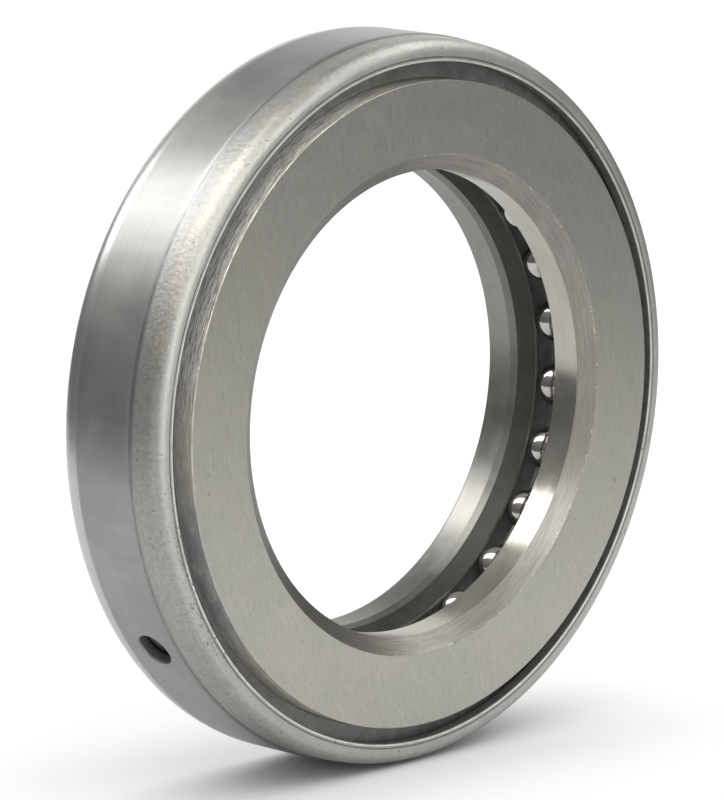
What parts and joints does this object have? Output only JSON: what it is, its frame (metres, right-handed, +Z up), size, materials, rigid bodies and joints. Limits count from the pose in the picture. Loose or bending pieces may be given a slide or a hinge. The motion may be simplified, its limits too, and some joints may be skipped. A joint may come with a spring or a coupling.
{
  "type": "thrust ball bearing",
  "caption": "Banded single-direction thrust ball bearing: a turning front race and a fixed rear race in a rolled steel band, with a caged ring of balls between them.",
  "frame": {"origin": "centre of the bearing, on its axis, midway between the two outer faces", "axes": "+Y along the bearing's axis, from the turning front race to the fixed rear race; +Z up, standing on its rim; +X to the right seen from the front"},
  "size_m": [0.0892, 0.0174, 0.0892],
  "materials": {
    "band": "satin drawn sheet steel",
    "front_race": "ground face, turned sides, polished bore",
    "rear_race": "turned and polished",
    "cage": "dark oiled sheet steel",
    "balls": "mirror polished"
  },
  "bodies": {
    "housing": {"outer_band": "band", "rear_race": "rear_race"},
    "front_race": {"front_race": "front_race"},
    "cage": {"ball_cage": "cage"},
    "ball_01": {"ball_01": "balls"},
    "ball_02": {"ball_02": "balls"},
    "ball_03": {"ball_03": "balls"},
    "ball_04": {"ball_04": "balls"},
    "ball_05": {"ball_05": "balls"},
    "ball_06": {"ball_06": "balls"},
    "ball_07": {"ball_07": "balls"},
    "ball_08": {"ball_08": "balls"},
    "ball_09": {"ball_09": "balls"},
    "ball_10": {"ball_10": "balls"},
    "ball_11": {"ball_11": "balls"},
    "ball_12": {"ball_12": "balls"},
    "ball_13": {"ball_13": "balls"},
    "ball_14": {"ball_14": "balls"},
    "ball_15": {"ball_15": "balls"},
    "ball_16": {"ball_16": "balls"},
    "ball_17": {"ball_17": "balls"},
    "ball_18": {"ball_18": "balls"},
    "ball_19": {"ball_19": "balls"},
    "ball_20": {"ball_20": "balls"},
    "ball_21": {"ball_21": "balls"},
    "ball_22": {"ball_22": "balls"},
    "ball_23": {"ball_23": "balls"},
    "ball_24": {"ball_24": "balls"},
    "ball_25": {"ball_25": "balls"}
  },
  "joints": [
    {"name": "race_spin", "type": "hinge", "parent": "housing", "child": "front_race", "pos_m": [0, 0, 0], "axis": [0, 1, 0], "continuous": true},
    {"name": "cage_orbit", "type": "hinge", "parent": "housing", "child": "cage", "pos_m": [0, 0, 0], "axis": [0, 1, 0], "continuous": true},
    {"name": "ball_01_spin", "type": "hinge", "parent": "cage", "child": "ball_01", "pos_m": [0.03276, -0.00018, 0.00536], "axis": [0.9869, 0, 0.1616], "continuous": true},
    {"name": "ball_02_spin", "type": "hinge", "parent": "cage", "child": "ball_02", "pos_m": [0.0304, -0.00018, 0.01334], "axis": [0.9157, 0, 0.4019], "continuous": true},
    {"name": "ball_03_spin", "type": "hinge", "parent": "cage", "child": "ball_03", "pos_m": [0.02613, -0.00018, 0.02049], "axis": [0.7869, 0, 0.617], "continuous": true},
    {"name": "ball_04_spin", "type": "hinge", "parent": "cage", "child": "ball_04", "pos_m": [0.02021, -0.00018, 0.02634], "axis": [0.6088, 0, 0.7934], "continuous": true},
    {"name": "ball_05_spin", "type": "hinge", "parent": "cage", "child": "ball_05", "pos_m": [0.01303, -0.00018, 0.03054], "axis": [0.3923, 0, 0.9198], "continuous": true},
    {"name": "ball_06_spin", "type": "hinge", "parent": "cage", "child": "ball_06", "pos_m": [0.00502, -0.00018, 0.03282], "axis": [0.1513, 0, 0.9885], "continuous": true},
    {"name": "ball_07_spin", "type": "hinge", "parent": "cage", "child": "ball_07", "pos_m": [-0.0033, -0.00018, 0.03304], "axis": [-0.0993, 0, 0.9951], "continuous": true},
    {"name": "ball_08_spin", "type": "hinge", "parent": "cage", "child": "ball_08", "pos_m": [-0.01141, -0.00018, 0.03118], "axis": [-0.3437, 0, 0.9391], "continuous": true},
    {"name": "ball_09_spin", "type": "hinge", "parent": "cage", "child": "ball_09", "pos_m": [-0.0188, -0.00018, 0.02736], "axis": [-0.5664, 0, 0.8241], "continuous": true},
    {"name": "ball_10_spin", "type": "hinge", "parent": "cage", "child": "ball_10", "pos_m": [-0.02502, -0.00018, 0.02183], "axis": [-0.7536, 0, 0.6574], "continuous": true},
    {"name": "ball_11_spin", "type": "hinge", "parent": "cage", "child": "ball_11", "pos_m": [-0.02966, -0.00018, 0.01492], "axis": [-0.8934, 0, 0.4493], "continuous": true},
    {"name": "ball_12_spin", "type": "hinge", "parent": "cage", "child": "ball_12", "pos_m": [-0.03244, -0.00018, 0.00707], "axis": [-0.977, 0, 0.213], "continuous": true},
    {"name": "ball_13_spin", "type": "hinge", "parent": "cage", "child": "ball_13", "pos_m": [-0.03318, -0.00018, -0.00122], "axis": [-0.9993, 0, -0.0366], "continuous": true},
    {"name": "ball_14_spin", "type": "hinge", "parent": "cage", "child": "ball_14", "pos_m": [-0.03183, -0.00018, -0.00943], "axis": [-0.9588, 0, -0.284], "continuous": true},
    {"name": "ball_15_spin", "type": "hinge", "parent": "cage", "child": "ball_15", "pos_m": [-0.02849, -0.00018, -0.01705], "axis": [-0.8581, 0, -0.5135], "continuous": true},
    {"name": "ball_16_spin", "type": "hinge", "parent": "cage", "child": "ball_16", "pos_m": [-0.02335, -0.00018, -0.0236], "axis": [-0.7034, 0, -0.7108], "continuous": true},
    {"name": "ball_17_spin", "type": "hinge", "parent": "cage", "child": "ball_17", "pos_m": [-0.01675, -0.00018, -0.02866], "axis": [-0.5045, 0, -0.8634], "continuous": true},
    {"name": "ball_18_spin", "type": "hinge", "parent": "cage", "child": "ball_18", "pos_m": [-0.0091, -0.00018, -0.03193], "axis": [-0.274, 0, -0.9617], "continuous": true},
    {"name": "ball_19_spin", "type": "hinge", "parent": "cage", "child": "ball_19", "pos_m": [-0.00087, -0.00018, -0.03319], "axis": [-0.0262, 0, -0.9997], "continuous": true},
    {"name": "ball_20_spin", "type": "hinge", "parent": "cage", "child": "ball_20", "pos_m": [0.00741, -0.00018, -0.03236], "axis": [0.2233, 0, -0.9748], "continuous": true},
    {"name": "ball_21_spin", "type": "hinge", "parent": "cage", "child": "ball_21", "pos_m": [0.01523, -0.00018, -0.0295], "axis": [0.4586, 0, -0.8886], "continuous": true},
    {"name": "ball_22_spin", "type": "hinge", "parent": "cage", "child": "ball_22", "pos_m": [0.02209, -0.00018, -0.02479], "axis": [0.6652, 0, -0.7466], "continuous": true},
    {"name": "ball_23_spin", "type": "hinge", "parent": "cage", "child": "ball_23", "pos_m": [0.02756, -0.00018, -0.01852], "axis": [0.83, 0, -0.5577], "continuous": true},
    {"name": "ball_24_spin", "type": "hinge", "parent": "cage", "child": "ball_24", "pos_m": [0.0313, -0.00018, -0.01108], "axis": [0.9426, 0, -0.3338], "continuous": true},
    {"name": "ball_25_spin", "type": "hinge", "parent": "cage", "child": "ball_25", "pos_m": [0.03307, -0.00018, -0.00295], "axis": [0.996, 0, -0.0889], "continuous": true}
  ],
  "couplings": [
    {"joint": "cage_orbit", "follows": "race_spin", "ratio": 0.5},
    {"joint": "ball_01_spin", "follows": "race_spin", "ratio": 5.9755},
    {"joint": "ball_02_spin", "follows": "race_spin", "ratio": 5.9755},
    {"joint": "ball_03_spin", "follows": "race_spin", "ratio": 5.9755},
    {"joint": "ball_04_spin", "follows": "race_spin", "ratio": 5.9755},
    {"joint": "ball_05_spin", "follows": "race_spin", "ratio": 5.9755},
    {"joint": "ball_06_spin", "follows": "race_spin", "ratio": 5.9755},
    {"joint": "ball_07_spin", "follows": "race_spin", "ratio": 5.9755},
    {"joint": "ball_08_spin", "follows": "race_spin", "ratio": 5.9755},
    {"joint": "ball_09_spin", "follows": "race_spin", "ratio": 5.9755},
    {"joint": "ball_10_spin", "follows": "race_spin", "ratio": 5.9755},
    {"joint": "ball_11_spin", "follows": "race_spin", "ratio": 5.9755},
    {"joint": "ball_12_spin", "follows": "race_spin", "ratio": 5.9755},
    {"joint": "ball_13_spin", "follows": "race_spin", "ratio": 5.9755},
    {"joint": "ball_14_spin", "follows": "race_spin", "ratio": 5.9755},
    {"joint": "ball_15_spin", "follows": "race_spin", "ratio": 5.9755},
    {"joint": "ball_16_spin", "follows": "race_spin", "ratio": 5.9755},
    {"joint": "ball_17_spin", "follows": "race_spin", "ratio": 5.9755},
    {"joint": "ball_18_spin", "follows": "race_spin", "ratio": 5.9755},
    {"joint": "ball_19_spin", "follows": "race_spin", "ratio": 5.9755},
    {"joint": "ball_20_spin", "follows": "race_spin", "ratio": 5.9755},
    {"joint": "ball_21_spin", "follows": "race_spin", "ratio": 5.9755},
    {"joint": "ball_22_spin", "follows": "race_spin", "ratio": 5.9755},
    {"joint": "ball_23_spin", "follows": "race_spin", "ratio": 5.9755},
    {"joint": "ball_24_spin", "follows": "race_spin", "ratio": 5.9755},
    {"joint": "ball_25_spin", "follows": "race_spin", "ratio": 5.9755}
  ]
}
